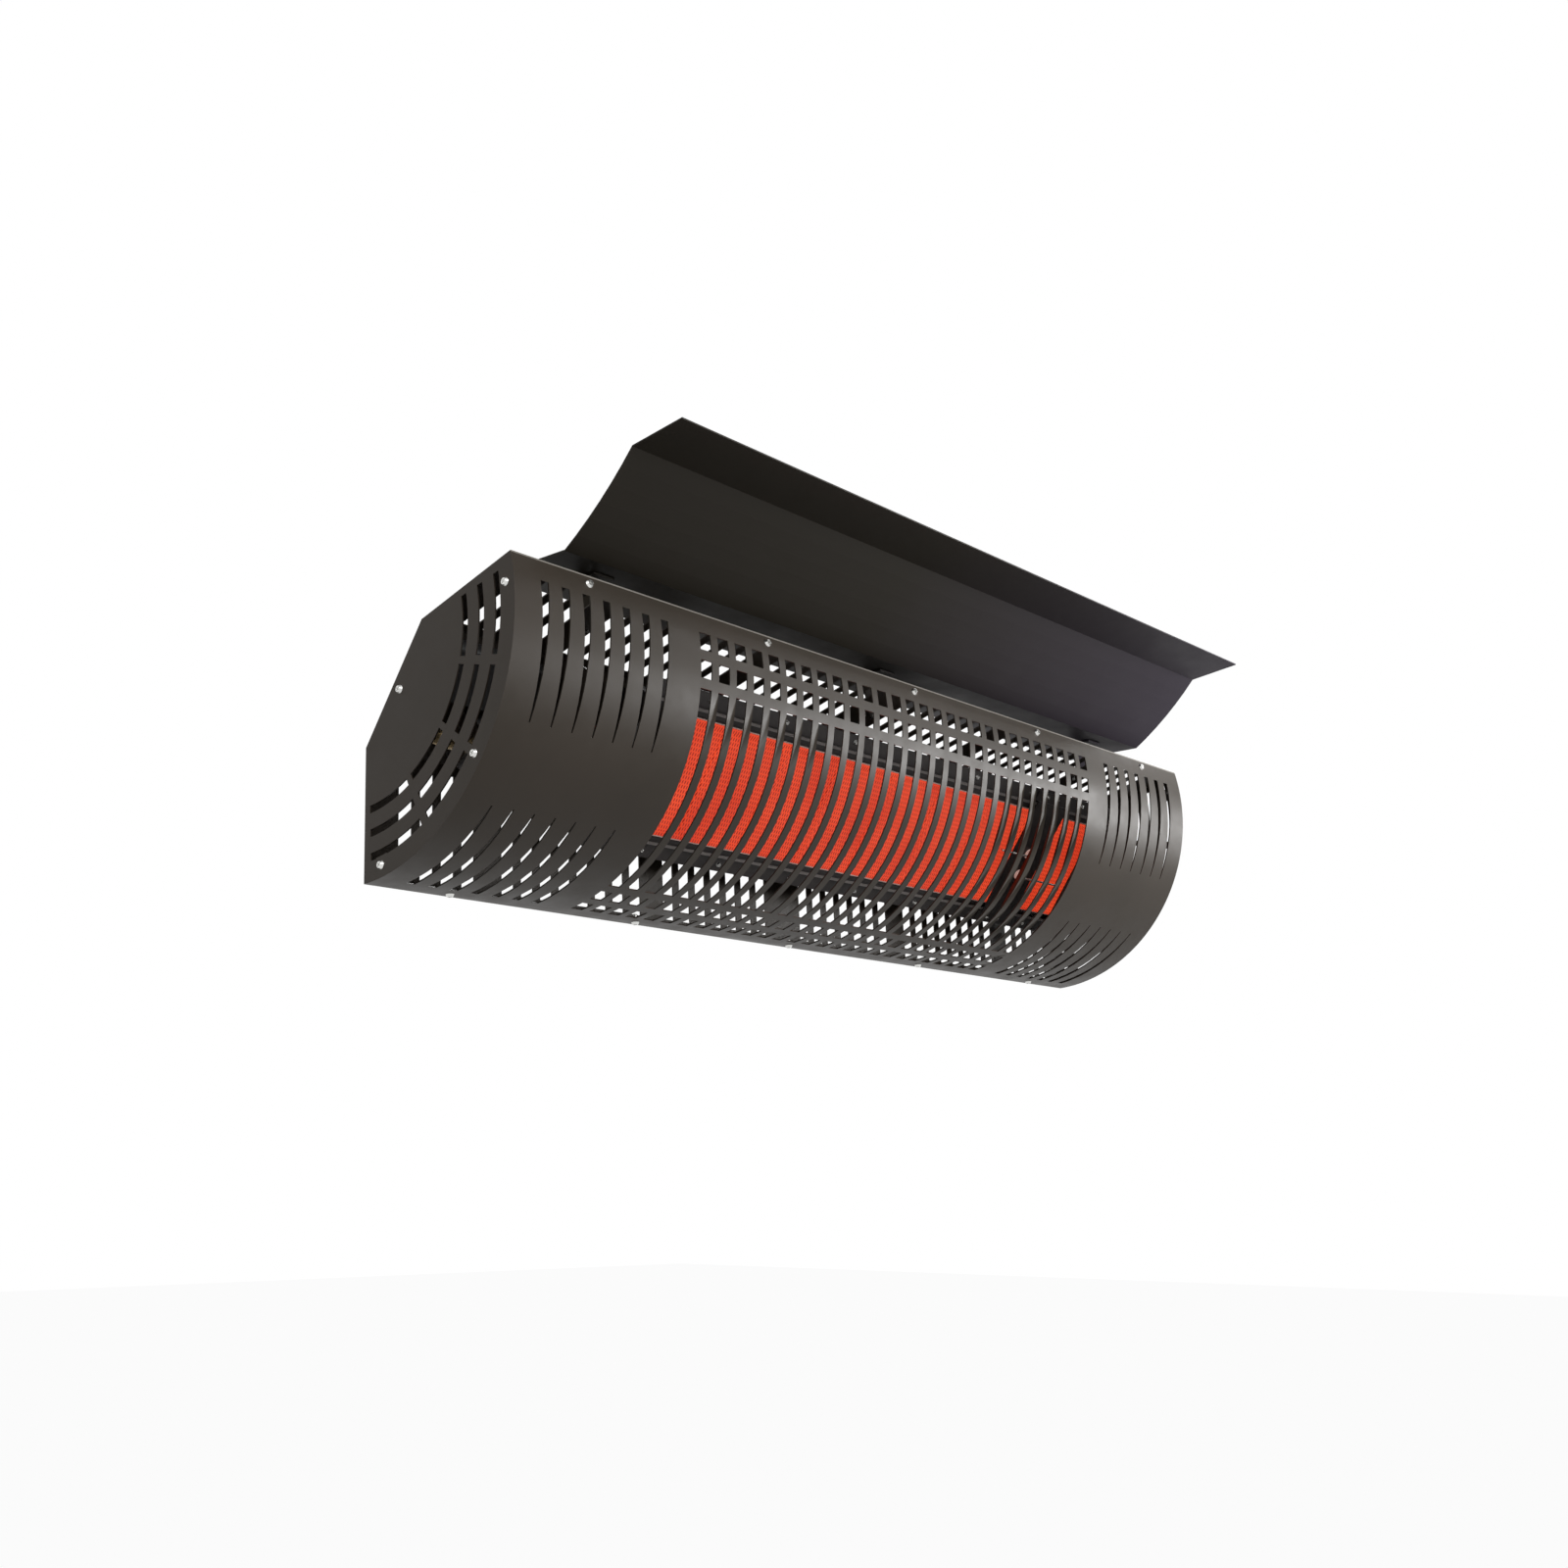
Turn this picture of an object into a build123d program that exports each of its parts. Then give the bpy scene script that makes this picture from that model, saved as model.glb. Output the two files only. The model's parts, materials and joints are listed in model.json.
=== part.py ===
from build123d import *
import os
from math import asin, cos, degrees, hypot, pi, radians, sin, sqrt, tan

# Ceramic infrared gas heater: a D-shaped perforated cage with a row of glowing tiles,
# a bent heat deflector above it, and a wall bracket that it tilts on.
# X runs along the heater, -Y is the room side, +Z is up.
# The origin is the middle of the wall bracket's back face.

# Cage
cage_length = 1160.0
cage_chord = 340.0
front_rise = 82.0
rear_depth = 82.0
back_width = 135.0
sheet = 1.5
fit_gap = 0.3

# Openings in the curved front
front_pitch = 25.1
end_zone_length = 226.0
front_slot_width = 15.5
long_slot_length = 231.0
row_hole_length = 18.3
row_bar = 10.5
wedge_columns = 7
wedge_pitch = 25.0
wedge_end_margin = 36.0
wedge_width = 9.5
wedge_tip_width = 1.6
wedge_tip_distance = 42.0

# Openings in the two slanted rear faces
rear_pitch = 24.9
rear_end_margin = 20.0
rear_slot_width = 15.3
rear_slot_length = 110.0
rear_closed_steps = (0, 8, 17)

# Openings in the end plates, rows of curved slots seen from the front edge inwards
end_slot_rows = 3
end_slot_inset = 23.4
end_slot_spacing = 23.0
end_slot_width = 7.5
end_slot_inner_gap = 2.6
end_slot_middle_gap = 2.8
end_slot_outer_angle = 48.5

# Cage fasteners
panel_screw_margin = 92.0
panel_screws_per_edge = 5
panel_screw_inset = 8.8
lip_length = 16.0
tab_width = 18.0
tab_depth = 20.0
end_screw_inset = 12.0
end_screw_angle = 44.3
screw_head_radius = 4.2
screw_head_height = 2.4
screw_shank_radius = 2.0
screw_length = 9.0
screw_cross_width = 0.9
screw_cross_depth = 1.2

# Heat deflector, described in the cage's cross-section
deflector_end_margin = 75.0
deflector_sheet = 1.5
deflector_lift = 11.0
deflector_setback = 24.0
deflector_base_depth = 104.0
deflector_base_angle = 55.0
deflector_panel_height = 118.0
deflector_panel_angle = 13.7
deflector_panel_sag = 4.0
panel_steps = 6
deflector_lip_depth = 63.5
deflector_lip_angle = 47.8
deflector_bracket_width = 26.0
deflector_bracket_sheet = 2.0
deflector_bracket_foot = 28.0
deflector_bracket_position = 76.0
bracket_screw_spacing = 13.0
bracket_screw_radius = 3.2

# Burner
tile_width = 92.0
tile_height = 132.0
tile_thickness = 13.0
tile_joint = 0.6
tile_border = 5.0
tile_recess = 0.8
control_room = 255.0
tiles_in_short_block = 1
electrode_gap = 62.0
electrode_end_distance = 225.0
gasket = 2.0
housing_wall = 1.2
housing_depth = 60.0
flange_setback = 6.0
flange_margin = 29.0
flange_end_margin = 22.0
frame_sheet = 1.2
frame_bead_height = 6.5
frame_bead_width = 3.0
frame_bead_margin = 10.0
frame_end_lip = 12.0
frame_screw_pitch = 116.0
frame_screw_margin = 21.0
frame_screw_radius = 3.0
baffle_thickness = 1.0
baffle_gap = 3.5
baffle_hole_radius = 3.0
baffle_hole_pitch = 38.0
baffle_hole_rows = 3
tile_ledge = 5.0

# Gas train
mixer_offset = -28.0
mixer_setback = 38.0
mixer_throat_radius = 13.0
mixer_outlet_radius = 17.0
mixer_mouth_radius = 22.0
mixer_wall = 1.2
mixer_length = 260.0
mixer_mouth_length = 30.0
mixer_overhang = 40.0
mixer_seat = 16.0
injector_gap = 6.0
injector_radius = 8.0
injector_length = 22.0
injector_tip_length = 7.0
injector_tip_radius = 4.0
injector_bore_radius = 1.2
injector_pipe_radius = 7.0
injector_pipe_length = 44.0
valve_cap_radius = 5.0
valve_cap_height = 7.0
valve_length = 62.0
valve_height = 48.0
valve_depth = 46.0
coil_radius = 15.0
coil_height = 30.0
coil_pitch = 33.0
inlet_pipe_radius = 8.0
inlet_run = 34.0
inlet_thread_radius = 10.5
inlet_thread_length = 22.0
inlet_bore_radius = 7.5
inlet_nut_radius = 15.0
inlet_nut_height = 8.0

# Ignition
ignition_length = 120.0
ignition_width = 52.0
ignition_height = 40.0
ignition_cover_height = 27.0
ignition_offset = 34.0
ignition_end_margin = 22.0
gland_radius = 11.0
gland_thread_radius = 8.0
gland_bore_radius = 5.0
gland_length = 20.0
electrode_offsets = (10.0, -20.0)
insulator_radius = 4.5
insulator_collar_radius = 6.5
insulator_front = 8.0
insulator_back = 30.0
rod_radius = 1.25
rod_stand_off = 13.0
rod_reach = 72.0
rod_bend = 5.0
rod_tail = 8.0
tunnel_length = 42.0
tunnel_height = 64.0
bridge_overlap = 2.0
bridge_foot = 14.0
bridge_screw_spacing = 22.0
lead_radius = 2.5
lead_boot_radius = 5.0
lead_boot_length = 14.0
lead_lane = 71.0
shield_half_height = 78.0
shield_offset = 25.0
shield_lead_gap = 16.0
shield_foot = 16.0
lead_spacing = 10.0
lead_end_gap = 12.0
lead_bend = 10.0

# Burner supports on the back of the cage
support_inset = 20.0
support_width = 36.0
support_foot = 14.0
support_margin = 8.0
support_sheet = 1.5

# Tilting wall bracket
tilt_at_rest = 35.0
tilt_less = 15.0
tilt_more = 25.0
arm_reach = 170.0
arm_spacing = 424.0
arm_sheet = 4.0
arm_root_height = 78.0
wall_plate_length = 500.0
wall_plate_height = 90.0
wall_plate_sheet = 4.0
wall_plate_corner = 8.0
wall_hole_spacing_x = 450.0
wall_hole_spacing_z = 50.0
wall_hole_radius = 4.5
pivot_gap = 60.0
pivot_radius = 5.0
pivot_clearance = 0.1
pivot_eye_radius = 20.0
lock_radius = 4.0
lock_distance = 45.0
lock_eye_radius = 13.0
lock_clearance = 0.5
lug_sheet = 4.0
lug_half_base = 52.0
lug_flange = 34.0
lug_bolt_offset = 41.0
lug_bolt_radius = 3.0
side_gap = 0.5
bolt_head_height = 6.0
nut_height = 7.0
bolt_hex_ratio = 1.85

# Worked out from the sizes above
half_length = cage_length / 2
half_chord = cage_chord / 2
half_back = back_width / 2
arc_radius = (half_chord**2 + front_rise**2) / (2 * front_rise)
arc_centre = front_rise - arc_radius
half_angle = degrees(asin(half_chord / arc_radius))
front_columns = 2 * int((half_length - end_zone_length) / front_pitch)
rear_columns_per_half = int((half_length - rear_end_margin) / rear_pitch)
panel_screw_pitch = (cage_length - 2 * panel_screw_margin) / (panel_screws_per_edge - 1)
deflector_length = cage_length - 2 * deflector_end_margin
slant_length = hypot(half_chord - half_back, rear_depth)
slant_up = (half_chord - half_back) / slant_length
slant_out = rear_depth / slant_length

bracket_end_x = (rear_closed_steps[-1] + 0.5) * rear_pitch
bracket_positions = (-bracket_end_x, 0.0, bracket_end_x)
bracket_foot_middle = slant_length / 2 - deflector_bracket_position + deflector_bracket_foot / 2

tilt = radians(tilt_at_rest)
up_axis = Vector(0, -sin(tilt), cos(tilt))
out_axis = Vector(0, -cos(tilt), -sin(tilt))
pivot_point = Vector(0, -arm_reach, 0)
pivot_setback = rear_depth + pivot_gap
cage_centre = pivot_point + out_axis * pivot_setback

electrode_x = half_length - electrode_end_distance
room_for_tiles = electrode_x - electrode_gap / 2 + half_length - control_room
tiles_in_long_block = int((room_for_tiles + tile_joint) / (tile_width + tile_joint))
long_block = tiles_in_long_block * (tile_width + tile_joint) - tile_joint
short_block = tiles_in_short_block * (tile_width + tile_joint) - tile_joint
long_start = electrode_x - electrode_gap / 2 - long_block
short_start = electrode_x + electrode_gap / 2
tile_end = short_start + short_block
burner_middle = (long_start + tile_end) / 2
burner_length = tile_end - long_start
flange_half_height = tile_height / 2 + flange_margin
frame_bead_position = tile_height / 2 + frame_bead_margin
frame_screw_position = tile_height / 2 + frame_screw_margin
support_half_height = tile_height / 2 - support_margin
bridge_width = electrode_gap + 2 * bridge_overlap
frame_screws_per_side = int(burner_length / frame_screw_pitch) + 1
frame_screw_xs = []
for column in range(frame_screws_per_side):
    screw_x = burner_middle + (column - (frame_screws_per_side - 1) / 2) * frame_screw_pitch
    if abs(screw_x - electrode_x) > bridge_width / 2 + 2 * frame_screw_radius:
        frame_screw_xs.append(screw_x)
bridge_screw_xs = [electrode_x - bridge_screw_spacing / 2, electrode_x + bridge_screw_spacing / 2]
rim = gasket + housing_wall
housing_start = long_start - rim
support_positions = (long_start + support_inset, burner_middle, tile_end - support_inset)
mouth_x = housing_start - mixer_overhang
tip_x = mouth_x - injector_gap
body_x = tip_x - injector_tip_length - injector_length
valve_end = body_x - injector_pipe_length
valve_x = valve_end - valve_length / 2
valve_start = valve_end - valve_length
inlet_x = valve_start - inlet_run
shield_x = valve_end + shield_offset
support_screw_x = (support_width + support_foot) / 2
support_screw_up = support_half_height / 2
inner_back = rear_depth - sheet


def place(x, up, out):
    """Point of the tilted heater in the part's frame."""
    return cage_centre + Vector(x, 0, 0) + up_axis * up + out_axis * out


def section(x):
    """Cross-section plane of the heater: its x is up the chord, its y is outwards."""
    return Plane(origin=place(x, 0, 0), x_dir=up_axis, z_dir=(1, 0, 0))


def facing(out):
    """Plane parallel to the tiles: its x runs along the heater, its y is up the chord."""
    return Plane(origin=place(0, 0, out), x_dir=(1, 0, 0), z_dir=out_axis)


def slant_plane(side):
    """Outer surface of the upper (side 1) or lower (side -1) slanted rear face."""
    middle = place(0, side * (half_chord + half_back) / 2, -rear_depth / 2)
    normal = up_axis * (side * slant_out) - out_axis * slant_up
    return Plane(origin=middle, x_dir=(1, 0, 0), z_dir=normal)


def radial_plane(x, angle, radius):
    """Plane square to the curved front at an angle from its middle, facing outwards."""
    point = place(x, *polar_spot(radius, angle))
    return Plane(origin=point, x_dir=(1, 0, 0), z_dir=spoke_direction(angle))


def spoke_direction(angle):
    """Direction square to the curved front at an angle from its middle."""
    return up_axis * sin(radians(angle)) + out_axis * cos(radians(angle))


def polar_spot(radius, angle):
    """Place in the cross-section at a radius and an angle about the front's arc."""
    return radius * sin(radians(angle)), arc_centre + radius * cos(radians(angle))


def arc_degrees(length, radius=arc_radius):
    """Angle that a length covers along the curved front."""
    return degrees(length / radius)


def sector(inner, outer, start, end):
    """Drawn face between two radii of the front's arc, from one angle to another."""
    with BuildSketch() as face:
        with BuildLine():
            far = CenterArc((0, arc_centre), outer, 90 - end, end - start)
            near = CenterArc((0, arc_centre), inner, 90 - end, end - start)
            Line(far @ 0, near @ 0)
            Line(far @ 1, near @ 1)
        make_face()
    return face.sketch


def sector_about(radius, half_width, start, end):
    """Drawn curved slot with round ends about the drawing's origin."""
    with BuildSketch() as slot:
        with BuildLine():
            far = CenterArc((0, 0), radius + half_width, start, end - start)
            near = CenterArc((0, 0), radius - half_width, start, end - start)
            Line(far @ 0, near @ 0)
            Line(far @ 1, near @ 1)
        make_face()
        with PolarLocations(radius, 2, start, end - start, endpoint=True):
            Circle(half_width)
    return slot.sketch


def bent_strip(points, thickness):
    """Drawn face of a bent sheet that lies to the left of a line of points."""
    with BuildSketch() as strip:
        with BuildLine():
            Polyline(*points)
            offset(amount=thickness, side=Side.LEFT, kind=Kind.INTERSECTION)
        make_face()
    return strip.sketch


def disc(plane, radius):
    """Round face on a plane."""
    with BuildSketch(plane) as face:
        Circle(radius)
    return face.sketch


def slab(x, up, out, length, height, depth, mode=Mode.ADD):
    """Box square to the cage, with the middle of its back face at a place."""
    with BuildSketch(facing(out)) as face:
        with Locations((x, up)):
            Rectangle(length, height)
    extrude(face.sketch, amount=depth, mode=mode)


def bar_x(x, up, out, radius, length, mode=Mode.ADD):
    """Round bar along the heater, from a place towards the right."""
    with BuildSketch(section(x)) as face:
        with Locations((up, out)):
            Circle(radius)
    extrude(face.sketch, amount=length, mode=mode)


def bar_out(x, up, out, radius, length, mode=Mode.ADD):
    """Round bar square to the tiles, from a place towards the room."""
    with BuildSketch(facing(out)) as face:
        with Locations((x, up)):
            Circle(radius)
    extrude(face.sketch, amount=length, mode=mode)


def add_bolt(side, up, out, radius, head_x, nut_x):
    """Bolt along the heater: its head's seat and its nut's seat are distances from the middle."""
    for seat, length in ((head_x, -bolt_head_height), (nut_x, nut_height)):
        with BuildSketch(section(side * seat)) as face:
            with Locations((up, out)):
                RegularPolygon(bolt_hex_ratio * radius, 6)
        extrude(face.sketch, amount=side * length)
    with BuildSketch(section(side * head_x)) as shank:
        with Locations((up, out)):
            Circle(radius)
    extrude(shank.sketch, amount=side * (nut_x - head_x))


def add_screw(plane, head_radius=screw_head_radius, length=screw_length):
    """Round-headed screw whose head stands on the plane."""
    extrude(disc(plane, head_radius), amount=screw_head_height, taper=25)
    extrude(disc(plane, screw_shank_radius), amount=-length)
    with BuildSketch(plane.offset(screw_head_height)) as cross:
        Rectangle(1.1 * head_radius, screw_cross_width)
        Rectangle(screw_cross_width, 1.1 * head_radius)
    extrude(cross.sketch, amount=-screw_cross_depth, mode=Mode.SUBTRACT)


def finish(part, name):
    """Labels a finished piece and writes its file."""
    part.label = name
    export_step(part, f"parts/{name}.step")


os.makedirs("parts", exist_ok=True)

panel_screw_angle = half_angle - arc_degrees(panel_screw_inset)
panel_screw_xs = [
    (index - (panel_screws_per_edge - 1) / 2) * panel_screw_pitch
    for index in range(panel_screws_per_edge)
]
end_screw_angles = (-end_screw_angle, 0.0, end_screw_angle)
end_screw_radius = arc_radius - end_screw_inset
rear_screw_setback = rear_depth - end_screw_inset
clear_length = cage_length - 2 * sheet
tab_spread = arc_degrees(tab_width) / 2

# Outline of the cage: three flat rear sides and the curved front
with BuildSketch() as cage_outline:
    with BuildLine():
        Polyline(
            (half_chord, 0), (half_back, -rear_depth), (-half_back, -rear_depth), (-half_chord, 0)
        )
        ThreePointArc((-half_chord, 0), (0, front_rise), (half_chord, 0))
    make_face()

# Curved perforated front of the cage
row_edges = [(-long_slot_length / 2, long_slot_length)]
first_row = long_slot_length / 2 + row_bar
second_row = first_row + row_hole_length + row_bar
for row_start in (first_row, second_row):
    row_edges.append((row_start, row_hole_length))
    row_edges.append((-row_start - row_hole_length, row_hole_length))
wedge_wide_end = second_row + row_hole_length
wedge_middle = half_length - wedge_end_margin - (wedge_columns - 1) * wedge_pitch / 2
wide_up = arc_radius * sin(wedge_wide_end / arc_radius)
tip_up = arc_radius * sin(wedge_tip_distance / arc_radius)
arc_axis = Axis(tuple(place(0, 0, arc_centre)), (1, 0, 0))

with BuildPart() as front_grille:
    with BuildSketch(section(-clear_length / 2)):
        add(sector(arc_radius - sheet, arc_radius, -half_angle, half_angle))
    extrude(amount=clear_length)
    # Folded tabs that take the end plates' screws
    for tab_x in (-clear_length / 2, clear_length / 2 - sheet):
        with BuildSketch(section(tab_x)):
            for angle in end_screw_angles:
                add(
                    sector(
                        arc_radius - sheet - tab_depth,
                        arc_radius - sheet / 2,
                        angle - tab_spread,
                        angle + tab_spread,
                    )
                )
                with Locations(polar_spot(end_screw_radius, angle)):
                    Circle(screw_shank_radius, mode=Mode.SUBTRACT)
        extrude(amount=sheet)
    # Rows of square holes and the long slots, all square to the curve
    for row_start, row_length in row_edges:
        spoke = spoke_direction(arc_degrees(row_start))
        spoke_plane = Plane(
            origin=place(0, 0, arc_centre), x_dir=(1, 0, 0), z_dir=Vector(1, 0, 0).cross(spoke)
        )
        with BuildSketch(spoke_plane):
            with Locations((0, arc_radius - sheet / 2)):
                with GridLocations(front_pitch, 1, front_columns, 1):
                    Rectangle(front_slot_width, 3 * sheet)
        revolve(axis=arc_axis, revolution_arc=-arc_degrees(row_length), mode=Mode.SUBTRACT)
    # Tapered slots of the two end zones
    with BuildSketch(facing(front_rise / 8)):
        with Locations((-wedge_middle, 0), (wedge_middle, 0)):
            with GridLocations(wedge_pitch, 1, wedge_columns, 1):
                for half in (-1, 1):
                    Polygon(
                        (-wedge_width / 2, half * wide_up),
                        (-wedge_tip_width / 2, half * tip_up),
                        (wedge_tip_width / 2, half * tip_up),
                        (wedge_width / 2, half * wide_up),
                        align=None,
                    )
    extrude(amount=front_rise, mode=Mode.SUBTRACT)
    # Holes for the screws along both edges
    for side in (-1, 1):
        with BuildSketch(radial_plane(0, side * panel_screw_angle, arc_radius - 2 * sheet)):
            with GridLocations(panel_screw_pitch, 1, panel_screws_per_edge, 1):
                Circle(screw_shank_radius + fit_gap)
        extrude(amount=3 * sheet, mode=Mode.SUBTRACT)
finish(front_grille.part, "front_grille")

# Rear shell: flat back, two slotted slanted faces and lips under the curved front
lip_outer = arc_radius - sheet - fit_gap
lip_end_angle = half_angle - arc_degrees(lip_length)
lug_middle_x = arm_spacing / 2 + arm_sheet / 2 + side_gap + lug_sheet + lug_flange / 2
gland_x = -half_length + ignition_end_margin + ignition_length / 2

with BuildPart() as rear_shell:
    with BuildSketch(section(-clear_length / 2)):
        with BuildSketch(mode=Mode.PRIVATE) as hollow:
            add(cage_outline.sketch)
            offset(amount=-sheet, kind=Kind.INTERSECTION)
            with Locations((0, arc_centre)):
                Circle(lip_outer - sheet, mode=Mode.INTERSECT)
        add(cage_outline.sketch)
        with Locations((0, arc_centre)):
            Circle(lip_outer, mode=Mode.INTERSECT)
        add(hollow.sketch, mode=Mode.SUBTRACT)
        add(
            sector(lip_outer - 2 * sheet, arc_radius, -lip_end_angle, lip_end_angle),
            mode=Mode.SUBTRACT,
        )
    extrude(amount=clear_length)
    # Tabs behind the end plates' rear screws
    for tab_x in (-clear_length / 2, clear_length / 2 - sheet):
        with BuildSketch(section(tab_x)):
            with Locations((0, -inner_back)):
                Rectangle(tab_width, tab_depth, align=(Align.CENTER, Align.MIN))
            with Locations((0, -rear_screw_setback)):
                Circle(screw_shank_radius, mode=Mode.SUBTRACT)
        extrude(amount=sheet)
    # Slots across both slanted faces, with closed strips where brackets sit
    for side in (-1, 1):
        with BuildSketch(slant_plane(side)):
            for step in range(rear_columns_per_half):
                if step not in rear_closed_steps:
                    column_x = (step + 0.5) * rear_pitch
                    with Locations((-column_x, 0), (column_x, 0)):
                        Rectangle(rear_slot_width, rear_slot_length)
        extrude(amount=-2 * sheet, mode=Mode.SUBTRACT)
    with BuildSketch(slant_plane(1)):
        for bracket_x in bracket_positions:
            with Locations((bracket_x, bracket_foot_middle)):
                with GridLocations(bracket_screw_spacing, 1, 2, 1):
                    Circle(screw_shank_radius)
    extrude(amount=-2 * sheet, mode=Mode.SUBTRACT)
    # Holes for the panel screws in the lips
    for side in (-1, 1):
        with BuildSketch(radial_plane(0, side * panel_screw_angle, lip_outer - 2 * sheet)):
            with GridLocations(panel_screw_pitch, 1, panel_screws_per_edge, 1):
                Circle(screw_shank_radius)
        extrude(amount=3 * sheet, mode=Mode.SUBTRACT)
    # Holes for the tilt lugs, the gas inlet and the cable gland
    with BuildSketch(facing(-rear_depth)):
        with GridLocations(2 * lug_middle_x, 2 * lug_bolt_offset, 2, 2):
            Circle(lug_bolt_radius + fit_gap)
        for support_x in support_positions:
            with Locations((support_x, 0)):
                with GridLocations(2 * support_screw_x, 2 * support_screw_up, 2, 2):
                    Circle(screw_shank_radius)
        with Locations((inlet_x, mixer_offset)):
            Circle(inlet_thread_radius + fit_gap)
        with Locations((gland_x, ignition_offset)):
            Circle(gland_thread_radius + fit_gap)
    extrude(amount=2 * sheet, mode=Mode.SUBTRACT)
finish(rear_shell.part, "rear_shell")

# End plates with three rows of curved air slots
for plate_name, plate_x in (("end_plate_left", -half_length), ("end_plate_right", half_length - sheet)):
    with BuildPart() as end_plate:
        with BuildSketch(section(plate_x)):
            add(cage_outline.sketch)
            for row in range(end_slot_rows):
                row_radius = arc_radius - end_slot_inset - row * end_slot_spacing
                half_width = end_slot_width / 2
                inner_angle = end_slot_inner_gap / 2
                split_angle = end_slot_outer_angle / 2
                for first, last in (
                    (inner_angle, split_angle - end_slot_middle_gap / 2),
                    (split_angle + end_slot_middle_gap / 2, end_slot_outer_angle),
                ):
                    for start, end in ((first, last), (-last, -first)):
                        add(
                            sector(row_radius - half_width, row_radius + half_width, start, end),
                            mode=Mode.SUBTRACT,
                        )
            for angle in end_screw_angles:
                with Locations(polar_spot(end_screw_radius, angle)):
                    Circle(screw_shank_radius + fit_gap, mode=Mode.SUBTRACT)
            with Locations((0, -rear_screw_setback)):
                Circle(screw_shank_radius + fit_gap, mode=Mode.SUBTRACT)
        extrude(amount=sheet)
    finish(end_plate.part, plate_name)

# Screws of the cage
with BuildPart() as panel_screws:
    for side in (-1, 1):
        for screw_x in panel_screw_xs:
            add_screw(radial_plane(screw_x, side * panel_screw_angle, arc_radius))
finish(panel_screws.part, "panel_screws")

for screws_name, screws_side in (("end_screws_left", -1), ("end_screws_right", 1)):
    with BuildPart() as end_screws:
        spots = [polar_spot(end_screw_radius, angle) for angle in end_screw_angles]
        for up, out in spots + [(0, -rear_screw_setback)]:
            add_screw(
                Plane(
                    origin=place(screws_side * half_length, up, out),
                    x_dir=up_axis,
                    z_dir=(screws_side, 0, 0),
                )
            )
    finish(end_screws.part, screws_name)

# Heat deflector: base above the cage, gently curved panel and a front lip
def direction(angle):
    """Unit step in the cross-section, at an angle from the chord towards the room."""
    return Vector(cos(radians(angle)), sin(radians(angle)))


bend = Vector(half_chord + deflector_lift, -deflector_setback)
base_end = bend - direction(deflector_base_angle) * deflector_base_depth
fold = bend + direction(deflector_panel_angle) * deflector_panel_height
lip_end = fold + direction(deflector_lip_angle) * deflector_lip_depth
belly = (bend + fold) / 2 + direction(deflector_panel_angle + 90) * deflector_panel_sag
with BuildLine() as panel_curve:
    ThreePointArc(bend, belly, fold)
curve_points = [panel_curve.line @ (step / panel_steps) for step in range(1, panel_steps)]

slant = Vector(slant_up, slant_out)
foot_end = Vector(half_back, -rear_depth) + slant * deflector_bracket_position
foot_start = foot_end - slant * deflector_bracket_foot
leg = Vector(slant_out, -slant_up)
base_normal = direction(deflector_base_angle - 90)
seat_height = (bend - foot_end).dot(base_normal) - deflector_bracket_sheet
leg_length = seat_height / leg.dot(base_normal)
leg_top = foot_end + leg * leg_length
seat_end = leg_top + direction(deflector_base_angle) * deflector_bracket_foot


def seat_plane(height):
    """Plane along the deflector's base, at a height above the brackets' seats."""
    spot = (leg_top + seat_end) / 2 + base_normal * (deflector_bracket_sheet + height)
    normal = up_axis * base_normal.X + out_axis * base_normal.Y
    return Plane(origin=place(0, spot.X, spot.Y), x_dir=(1, 0, 0), z_dir=normal)


with BuildPart() as deflector:
    with BuildSketch(section(-deflector_length / 2)):
        add(bent_strip([lip_end, fold, *reversed(curve_points), bend, base_end], deflector_sheet))
    extrude(amount=deflector_length)
    with BuildSketch(seat_plane(-deflector_sheet)):
        for bracket_x in bracket_positions:
            with Locations((bracket_x, 0)):
                with GridLocations(bracket_screw_spacing, 1, 2, 1):
                    Circle(screw_shank_radius)
    extrude(amount=3 * deflector_sheet, mode=Mode.SUBTRACT)
finish(deflector.part, "deflector")

# Brackets that carry the deflector on the closed strips of the upper slanted face
for bracket_name, bracket_x in zip(("left", "middle", "right"), bracket_positions):
    with BuildPart() as deflector_bracket:
        with BuildSketch(section(bracket_x - deflector_bracket_width / 2)):
            add(bent_strip([seat_end, leg_top, foot_end, foot_start], deflector_bracket_sheet))
        extrude(amount=deflector_bracket_width)
        with BuildSketch(slant_plane(1)):
            with Locations((bracket_x, bracket_foot_middle)):
                with GridLocations(bracket_screw_spacing, 1, 2, 1):
                    Circle(screw_shank_radius)
        extrude(amount=2 * deflector_bracket_sheet, mode=Mode.SUBTRACT)
        with BuildSketch(seat_plane(0)):
            with Locations((bracket_x, 0)):
                with GridLocations(bracket_screw_spacing, 1, 2, 1):
                    Circle(screw_shank_radius)
        extrude(amount=-2 * deflector_bracket_sheet, mode=Mode.SUBTRACT)
    finish(deflector_bracket.part, f"deflector_bracket_{bracket_name}")

with BuildPart() as deflector_screws:
    foot_spot = slant_plane(1).offset(deflector_bracket_sheet)
    foot_spot = Plane(foot_spot.from_local_coords((0, bracket_foot_middle, 0)), (1, 0, 0), foot_spot.z_dir)
    for bracket_x in bracket_positions:
        for side in (-1, 1):
            screw_x = bracket_x + side * bracket_screw_spacing / 2
            for seat in (foot_spot, seat_plane(deflector_sheet)):
                spot = seat.origin + Vector(screw_x, 0, 0)
                add_screw(Plane(origin=spot, x_dir=(1, 0, 0), z_dir=seat.z_dir), bracket_screw_radius)
finish(deflector_screws.part, "deflector_screws")

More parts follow.
